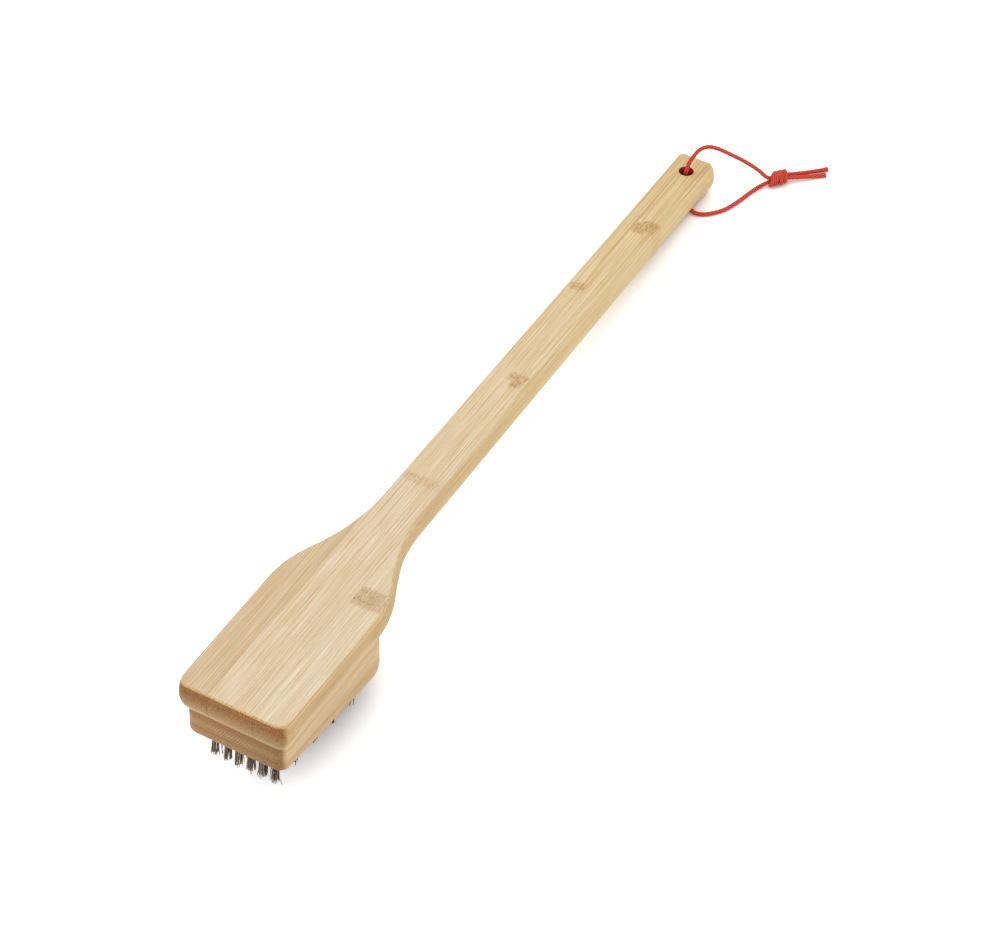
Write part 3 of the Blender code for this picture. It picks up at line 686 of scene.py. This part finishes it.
def paddleHalf(inset):
    # Half outline at +Y from the front corner to the tip's corner, moved in by the inset:
    # corner, straight side, convex shoulder, concave neck, straight taper, corner.
    right = math.pi / 2
    reach = paddle["shoulderRadius"] + paddle["neckRadius"]
    bend = math.acos(1 - (paddle["headHalf"] - paddle["neckHalf"]) / reach)
    shoulderX, shoulderY = paddle["headStraight"], paddle["headHalf"] - paddle["shoulderRadius"]
    neckX, neckY = shoulderX + reach * math.sin(bend), shoulderY + reach * math.cos(bend)
    front = max(paddle["frontCorner"] - inset, paddle["leastCorner"])
    tip = max(paddle["tipCorner"] - inset, paddle["leastCorner"])
    corner = arcPoints(inset + front, paddle["headHalf"] - inset - front, front, 2 * right, right, 14)
    shoulder = arcPoints(shoulderX, shoulderY, paddle["shoulderRadius"] - inset, right, right - bend, 48)
    neck = arcPoints(neckX, neckY, paddle["neckRadius"] + inset, 3 * right - bend, 3 * right, 64)
    last = arcPoints(paddle["length"] - inset - tip, paddle["tipHalf"] - inset - tip, tip, right, 0.0, 14)
    return np.vstack([corner, straight(corner[-1], shoulder[0], 25), shoulder, neck[1:],
                      straight(neck[-1], last[0], 79), last])


def smoothStep(value, low, high):
    share = np.clip((value - low) / (high - low), 0.0, 1.0)
    return share**2 * (3 - 2 * share)


def easing(points):
    # How many times wider the eased top edge is: more along the handle and at the front corners.
    x, y = points[:, 0], np.abs(points[:, 1])
    along = (paddle["softEdge"] / paddle["topEdge"] - 1.0) * smoothStep(x, *paddle["softFrom"])
    away = x**2 + (y - paddle["headHalf"])**2
    return 1.0 + along + paddle["cornerEasing"] * np.exp(-away / paddle["cornerReach"]**2)


def paddleEdge(level, inset):
    # The half outline at a level. Down the eased top edge its inset grows with the easing.
    # Under it the front corners, the shoulders and the tip swell by a sine over the thickness.
    plain, moved = paddleHalf(0.0), paddleHalf(inset)
    if level > -paddle["topEdge"] - 1e-6:
        return plain + (moved - plain) * easing(plain)[:, None]
    x = plain[:, 0]
    step = 0.001
    outward = (plain - paddleHalf(step)) / step
    shoulder = smoothStep(x, *paddle["shoulderFrom"]) * (1 - smoothStep(x, *paddle["shoulderTo"]))
    tip = smoothStep(x, *paddle["tipFrom"])
    front = np.exp(-(x**2 + (plain[:, 1] - paddle["headHalf"])**2) / paddle["frontReach"]**2)
    belly = paddle["shoulderBelly"] * shoulder + paddle["tipBelly"] * tip + paddle["frontBelly"] * front
    belly = belly * math.sin(math.pi * -level / paddle["thickness"])
    curve = (1 - paddle["tipCurveLoss"] * tip)[:, None]
    return plain + (moved - plain) * curve + outward * belly[:, None]


def paddleHeight(points, level):
    return level * (easing(points) if level > -paddle["topEdge"] - 1e-6 else np.ones(len(points)))


def edgeLevels():
    # Height and inset down the edge: a quarter round, then from a depth on an arc inwards, whose
    # inset is the radius less the root of radius squared less drop squared.
    wall = [(level, 0.0) for level in paddle["wallLevels"]]
    drop = np.linspace(0.0, paddle["thickness"] - paddle["sideCurveStart"], 9)
    radius = paddle["sideCurveRadius"]
    side = np.stack([-paddle["sideCurveStart"] - drop, radius - np.sqrt(radius**2 - drop**2)], axis=1)
    return np.vstack([quarterRound(paddle["topEdge"], 7), wall, side])


def slabSurface(halfOutline, levels, heightAt, columns):
    # Closed slab: a ring for each level, rows of points across its top and its underside.
    # A ring runs down the +Y half, across the tip, back up the -Y half and across the front.
    rings = []
    for level, inset in levels:
        half = halfOutline(level, inset)
        mirror = half * (1.0, -1.0)
        ring = np.vstack([half, straight(half[-1], mirror[-1], columns),
                          mirror[::-1], straight(mirror[0], half[0], columns)])
        rings.append(np.column_stack([ring, heightAt(ring, level)]))
    rows, around = len(half), len(rings[0])
    points = np.vstack(rings)
    faces = tubeFaces(len(levels), around)
    for number in (0, len(levels) - 1):
        ring = rings[number]
        plus, minus = ring[:rows], ring[rows + columns - 1:2 * rows + columns - 1][::-1]
        inner = straight(plus[1:-1, None], minus[1:-1, None], columns)
        base = number * around
        cap = np.empty((rows, columns + 1), int)
        cap[:, 0] = base + np.arange(rows)
        cap[:, -1] = base + rows + columns - 1 + np.arange(rows)[::-1]
        cap[-1, 1:-1] = base + rows + np.arange(columns - 1)
        cap[0, 1:-1] = base + 2 * rows + columns - 1 + np.arange(columns - 1)[::-1]
        cap[1:-1, 1:-1] = len(points) + np.arange(inner.shape[0] * inner.shape[1]).reshape(inner.shape[:2])
        points = np.vstack([points, inner.reshape(-1, 3)])
        quads = gridFaces(cap)
        faces += (quads if number else quads[:, ::-1]).tolist()
    return points, faces


def stripOf(points, faces, lowY, highY):
    # The part of a closed surface between two planes across Y, closed again on both.
    mesh = bpy.data.meshes.new("strip")
    mesh.from_pydata(points.tolist(), [], faces)
    shape = bmesh.new()
    shape.from_mesh(mesh)
    for height, side in ((lowY, -1.0), (highY, 1.0)):
        if height is None:
            continue
        whole = shape.verts[:] + shape.edges[:] + shape.faces[:]
        cut = bmesh.ops.bisect_plane(shape, geom=whole, dist=1e-7, plane_co=(0.0, height, 0.0),
                                     plane_no=(0.0, side, 0.0), clear_outer=True)
        edges = [item for item in cut["geom_cut"] if isinstance(item, bmesh.types.BMEdge)]
        bmesh.ops.holes_fill(shape, edges=edges, sides=0)
    bmesh.ops.recalc_face_normals(shape, faces=shape.faces)
    shape.to_mesh(mesh)
    shape.free()
    found = np.empty(len(mesh.vertices) * 3)
    mesh.vertices.foreach_get("co", found)
    quads = [list(face.vertices) for face in mesh.polygons]
    bpy.data.meshes.remove(mesh)
    return found.reshape(-1, 3), quads


def turnedProfile(profile, sides, x=0.0):
    # A turned closed form: a circle of the radius at the height, for each pair of them.
    profile = np.array(profile)
    angle = np.linspace(0.0, math.tau, sides, endpoint=False)
    points = np.stack([x + profile[:, 1:] * np.cos(angle), profile[:, 1:] * np.sin(angle),
                       np.broadcast_to(profile[:, :1], (len(profile), sides))], axis=-1)
    return points.reshape(-1, 3), closedFaces(len(profile), sides)


def holeCutter():
    # A bore with a widening mouth at both ends, as rings of a turned profile.
    radius, mouth, thick = paddle["holeRadius"], paddle["holeChamfer"], paddle["thickness"]
    past = 0.002                 # how far the cutter reaches past the wood
    wide, slight = radius + mouth + past, 0.35 * mouth
    profile = [(past, wide), (-slight, radius + slight), (-mouth, radius),
               (mouth - thick, radius), (slight - thick, radius + slight), (-thick - past, wide)]
    return turnedProfile(profile, 96, paddle["length"] - paddle["holeFromTip"])


def addWood(name, look, points, faces, node, slotName, cutter=None):
    # One wooden piece, with its holes cut.
    material = makePressedBamboo(name + "Bamboo", look)
    piece = newPiece(name, paddleToRow(points), faces, material, "brush", [node])
    if cutter:
        cutterPoints, cutterFaces = cutter()
        cutWith(piece, newPiece("cutter", paddleToRow(cutterPoints), cutterFaces, material))
    markSharp(piece)
    return piece


def buildPaddle():
    points, faces = slabSurface(paddleEdge, edgeLevels(), paddleHeight, 20)
    gap, half = paddle["glueGap"] / 2, paddle["plankHalf"]
    for name, look, lowY, highY, *rest in (
            ("handlePlank", plankLook, gap - half, half - gap, "handle_plank", "bamboo_core", holeCutter),
            ("headCheekLeft", leftLook, half + gap, None, "head_cheek_left", "bamboo_cheek"),
            ("headCheekRight", rightLook, None, -half - gap, "head_cheek_right", "bamboo_cheek")):
        addWood(name, look, *stripOf(points, faces, lowY, highY), *rest)
    print("paddle planed")


buildPaddle()


block = {
    "setback": 0.0019, "length": 0.1033, "half": 0.0272, "frontDepth": 0.0353,
    "slope": math.radians(6.7), "frontCorner": 0.0055, "backCorner": 0.0255, "underEdge": 0.0040,
    "boardThickness": 0.0082, "glueGap": 0.00008, "sawnEdge": 0.00025, "leastCorner": 0.0003,
}

wedgeLook = dict(plainLook, pale="#EAD8BA", light="#DEC6A1", middle="#D3B88F", dark="#C4A578", seed=5.1)
boardLook = dict(plainLook, pale="#E6D2B2", light="#D8BE97", middle="#CBAE84", dark="#BC9B6E", seed=7.7)


def blockHalf(level, inset):
    # Half outline of a rectangle with small corners in front and an almost half round back.
    right = math.pi / 2
    front = max(block["frontCorner"] - inset, block["leastCorner"])
    back = max(block["backCorner"] - inset, block["leastCorner"])
    side = block["half"] - inset
    endX = block["setback"] + block["length"] - inset - back
    first = arcPoints(block["setback"] + inset + front, side - front, front, 2 * right, right, 14)
    last = arcPoints(endX, side - back, back, right, 0.0, 44)
    return np.vstack([first, straight(first[-1], last[0], 31), last])


def undersideAt(points, above):
    # Height of the sloping underside, raised square to it.
    slope = block["slope"]
    fall = (points[:, 0] - block["setback"]) * math.tan(slope)
    return -block["frontDepth"] - fall + above / math.cos(slope)


tufts = {
    "rowPitch": 0.0081, "tuftPitch": 0.0066, "firstRow": 0.0099,
    "perRow": (6, 5, 6, 5, 6, 5, 6, 5, 6, 5, 4),
    "length": 0.0158, "holeRadius": 0.0023, "holeDepth": 0.0070,
    "wires": 36, "wireRadius": 0.00019, "rootRadius": 0.00172, "tipRadius": 0.0022,
    "rootGap": 0.0003,           # from a wire's root to the bottom of its hole
    "lean": 0.00022,             # spread of the tufts' own leans
    "scatter": 0.00020,          # spread of the wires' tips
    "shorter": 0.00045,          # spread of what is missing from their length
    "steps": 8, "bendPower": 1.3,
    "wave": 0.00042, "waveShare": (0.3, 1.3), "waveTurn": (4.0, 9.0),
    "strayShare": 0.08, "strayReach": 1.8, "strayWave": 2.6,
    "toneSpread": (1.4, 3.4), "toneShare": 0.75,     # left to chance, the rest by place
    "tableClear": 0.00002, "seed": 71,
}


def tuftPlaces(row):
    # Places across the row, half a pitch further in every second row.
    count = tufts["perRow"][row]
    return (np.arange(count) - (count - 1) / 2) * tufts["tuftPitch"]


def bristleToPaddle(points):
    # From the frame of the sloping underside: turned by the slope about Y, moved to its front.
    return points @ turnAboutY(block["slope"]).T + np.array([block["setback"], 0.0, -block["frontDepth"]])


def tuftHoleCutter():
    # Round blind holes with a slightly opened mouth, one for each tuft, as a turned profile.
    radius, depth, mouth, past = tufts["holeRadius"], tufts["holeDepth"], 0.0002, 0.002
    one, faces = turnedProfile([(-past, radius + past + mouth), (mouth, radius), (depth, radius)], 28)
    # The profile runs upwards here, so its faces are turned to look out.
    faces = [face[::-1] for face in faces]
    centres = np.array([(tufts["firstRow"] + tufts["rowPitch"] * row, y, 0.0)
                        for row in range(len(tufts["perRow"])) for y in tuftPlaces(row)])
    points = (one[None] + centres[:, None]).reshape(-1, 3)
    allFaces = [[corner + number * len(one) for corner in face]
                for number in range(len(centres)) for face in faces]
    return bristleToPaddle(points), allFaces


def buildBlock():
    gap, sawn, thick, edge = [block[key] for key in ("glueGap", "sawnEdge", "boardThickness", "underEdge")]
    onBoard = -1.0               # added to a level that stands on the board

    def wedgeHeight(points, level):
        # The first levels hang from the paddle, the last ones stand on the board.
        if level > onBoard / 2:
            return np.full(len(points), -paddle["thickness"] - gap + level)
        return undersideAt(points, thick + gap - (level - onBoard))

    upper = quarterRound(sawn, 4)
    lower = (onBoard, 0.0) - upper[:, ::-1]
    points, faces = slabSurface(blockHalf, np.vstack([upper, lower]), wedgeHeight, 12)
    addWood("wedgePly", wedgeLook, points, faces, "wedge_ply", "bamboo_wedge")
    levels = np.vstack([upper + (thick, 0.0), quarterRound(edge, 10)[:, ::-1] * (1, -1)])
    points, faces = slabSurface(blockHalf, levels, undersideAt, 12)
    board = addWood("tuftBoard", boardLook, points, faces, "tuft_board", "bamboo_tuft_board",
                    tuftHoleCutter)
    print("block glued and drilled,", len(board.data.polygons), "faces")


buildBlock()


steel = {
    # The darkest tone is painted shade for a tuft's core, the last a painted glint.
    "tones": ((0.18, "#3C2B21"), (0.55, "#6B584A"), (0.95, "#A89885"), (1.0, "#DED2BE")),
    "roughness": (0.24, 0.52),
}


def makeDrawnSteelWire():
    # Drawn carbon steel wire, browned by handling: dark grey-brown, with painted shade on the wires in a
    # tuft's core and a painted glint on a few brighter wires.
    material, shader, add = newMaterial("drawnSteelWire")
    # Draw marks are finer than a wire. The tarnish is drawn in patches of about 1.5 mm.
    patch = add("TexNoise", {"Vector": add("TexCoord", output="Object"), "Scale": 650.0, "Detail": 2.0})
    tone = add("Attribute", output="Fac", attribute_name="wireTone")
    tone = add("Math", {0: patch, 1: 0.35, 2: tone}, operation="MULTIPLY_ADD")
    least, most = steel["roughness"]
    setInputs(shader, {
        "Base Color": add("ValToRGB", {"Fac": tone}, stops=steel["tones"]),
        "Roughness": add("MapRange", {"Value": patch, "To Min": least, "To Max": most}),
        "Normal": add("Bump", {"Height": patch, "Strength": 0.2, "Distance": 0.00005}),
        "Metallic": 1.0})
    return material


def wireRow(row, chance):
    # All wires of one row. A wire runs from its root in a disc to its tip in a wider disc, with
    # a slight wave across it. Its section is a square, turned by chance.
    places = tuftPlaces(row)
    perTuft, steps = tufts["wires"], tufts["steps"]
    number = np.arange(perTuft)
    spiral = math.pi * (3 - math.sqrt(5)) * number
    reach = np.sqrt((number + 0.5) / perTuft)
    disc = np.stack([reach * np.cos(spiral), reach * np.sin(spiral)], axis=1)
    count = len(places) * perTuft
    turn = np.repeat(chance.uniform(0, math.tau, len(places)), perTuft)
    disc = np.tile(disc, (len(places), 1))
    disc = np.stack([disc[:, 0] * np.cos(turn) - disc[:, 1] * np.sin(turn),
                     disc[:, 0] * np.sin(turn) + disc[:, 1] * np.cos(turn)], axis=1)
    root = disc * tufts["rootRadius"]
    lean = np.repeat(chance.normal(0, tufts["lean"], (len(places), 2)), perTuft, axis=0)
    stray = (chance.random(count) < tufts["strayShare"])[:, None]
    tip = disc * tufts["tipRadius"] * np.where(stray, tufts["strayReach"], 1.0) + lean
    tip = tip + chance.normal(0, tufts["scatter"], (count, 2))
    centre = np.stack([np.full(count, tufts["firstRow"] + tufts["rowPitch"] * row),
                       np.repeat(places, perTuft)], axis=1)
    length = tufts["length"] - np.abs(chance.normal(0, tufts["shorter"], count))
    share = np.linspace(0.0, 1.0, steps)[None, :]
    waveStart = chance.uniform(0, math.tau, count)[:, None]
    wave = tufts["wave"] * np.where(stray, tufts["strayWave"], 1.0)
    wave = wave * chance.uniform(*tufts["waveShare"], count)[:, None]
    wave = wave * np.sin(share * chance.uniform(*tufts["waveTurn"], count)[:, None] + waveStart) * share
    bend = chance.uniform(0, math.tau, count)[:, None]
    out = share**tufts["bendPower"]
    x = centre[:, :1] + root[:, :1] + (tip - root)[:, :1] * out + wave * np.cos(bend)
    y = centre[:, 1:] + root[:, 1:] + (tip - root)[:, 1:] * out + wave * np.sin(bend)
    deep = tufts["holeDepth"] - tufts["rootGap"]
    z = deep - (deep + length[:, None]) * share
    line = paddleToRow(bristleToPaddle(np.stack([x, y, z], axis=-1)))
    # A wire that would reach through the table is cut where it meets it.
    table = tufts["tableClear"]
    over, under = line[:, :1, 2], line[:, -1:, 2]
    kept = np.minimum(np.where(under < table, (over - table) / (over - under), 1.0), 1.0)
    place = share[..., None] * kept[..., None] * (steps - 1)
    low = np.clip(np.floor(place).astype(int), 0, steps - 2)
    part = place - low
    rows = np.arange(count)[:, None]
    line = line[rows, low[..., 0]] * (1 - part) + line[rows, low[..., 0] + 1] * part
    line[..., 2] = np.maximum(line[..., 2], table)
    quarter = chance.uniform(0, math.pi / 2, count)[:, None] + np.arange(4)[None] * math.pi / 2
    corner = np.stack([np.cos(quarter), np.sin(quarter), np.zeros_like(quarter)], axis=-1)
    points = line[:, :, None] + tufts["wireRadius"] * corner[:, None]
    index = np.arange(count * steps * 4).reshape(count, steps, 4)
    index = np.concatenate([index, index[:, :, :1]], axis=2)
    quads = np.stack([index[:, :-1, :-1], index[:, :-1, 1:], index[:, 1:, 1:], index[:, 1:, :-1]], axis=-1)
    faces = quads.reshape(-1, 4)[:, ::-1].tolist()
    faces += index[:, 0, :4].tolist() + index[:, -1, :4][:, ::-1].tolist()
    # Wires in the tuft's core are darker with painted shade, outer wires lighter.
    tone = tufts["toneShare"] * chance.beta(*tufts["toneSpread"], count)
    tone = tone + (1 - tufts["toneShare"]) * (disc**2).sum(axis=1)
    return points.reshape(-1, 3), faces, np.repeat(np.clip(tone, 0, 1), steps * 4)


def buildTufts():
    material = makeDrawnSteelWire()
    chance = np.random.default_rng(tufts["seed"])
    total = 0
    for row in range(len(tufts["perRow"])):
        points, faces, tone = wireRow(row, chance)
        piece = newPiece("wireRow%02d" % (row + 1), points, faces, material, "brush",
                         ["bristle_row_%02d" % (row + 1)])
        keepNumbers(piece, "wireTone", tone)
        total += len(faces)
    print("tufts set,", total, "faces")


buildTufts()


studio = {
    "floorHalf": 4.0,
    "floorGrey": "#F7F7F7",
    "floorLift": 0.66,           # what the camera sees on top of the floor's own light
    "nearShade": 0.033,          # reach of the shade close to the object
    "nearFrom": (0.25, 0.85),    # openness at which the lift is least and full
    "nearLeft": 0.05,            # share of the lift that is left in the deepest shade
    "skyStrength": 0.85,
    "sunStrength": 0.55,
    "sunAngle": 40.0,            # degrees across, for a soft shadow
    "sunTowards": (0.15, 0.45, 0.88),
}


def buildStudio():
    half = studio["floorHalf"]
    corners = np.array([(-half, -half, 0.0), (half, -half, 0.0), (half, half, 0.0), (-half, half, 0.0)])
    # Matt paper sweep: plain white, and as white as the page to the camera where nothing shades it.
    material, shader, add = newMaterial("paperSweep")
    grain = add("TexNoise", {"Vector": add("TexCoord", output="Object"), "Scale": 900.0}, output="Color")
    near = add("AmbientOcclusion", {"Distance": studio["nearShade"]}, output="AO", samples=8)
    closed, opened = studio["nearFrom"]
    lift = studio["floorLift"]
    near = add("MapRange", {"Value": near, "From Min": closed, "From Max": opened,
                            "To Min": studio["nearLeft"] * lift, "To Max": lift})
    seen = add("LightPath", output="Is Camera Ray")
    for kind in ("Is Glossy Ray", "Is Transmission Ray"):
        seen = add("Math", {0: seen, 1: add("LightPath", output=kind)}, operation="MAXIMUM")
    setInputs(shader, {
        "Base Color": add("MixRGB", {"Fac": 0.012, "Color1": studio["floorGrey"], "Color2": grain}),
        "Roughness": 0.9, "Specular IOR Level": 0.0, "Emission Color": "#FFFFFF",
        "Emission Strength": add("Math", {0: seen, 1: near}, operation="MULTIPLY")})
    newPiece("paperFloor", corners, [[0, 1, 2, 3]], material)

    world = bpy.data.worlds.new("studioWorld")
    bpy.context.scene.world = world
    world.use_nodes = True
    add = partial(addNode, world.node_tree)
    seen = add("Math", {0: add("LightPath", output="Is Camera Ray"),
                        1: add("LightPath", output="Is Transmission Ray")}, operation="MAXIMUM")
    setInputs(world.node_tree.nodes["Background"], {
        "Color": "#FFFFFF",
        "Strength": add("MapRange", {"Value": seen, "To Min": studio["skyStrength"], "To Max": 1.0})})

    lamp = bpy.data.lights.new("softKey", "SUN")
    lamp.energy = studio["sunStrength"]
    lamp.angle = math.radians(studio["sunAngle"])
    holder = bpy.data.objects.new("softKey", lamp)
    towards = np.array(studio["sunTowards"])
    holder.rotation_euler = (math.acos(towards[2] / np.linalg.norm(towards)), 0.0,
                             math.atan2(towards[1], towards[0]) + math.pi / 2)
    bpy.context.scene.collection.objects.link(holder)
    bpy.context.scene.view_settings.view_transform = "Standard"
    print("studio lit")


buildStudio()
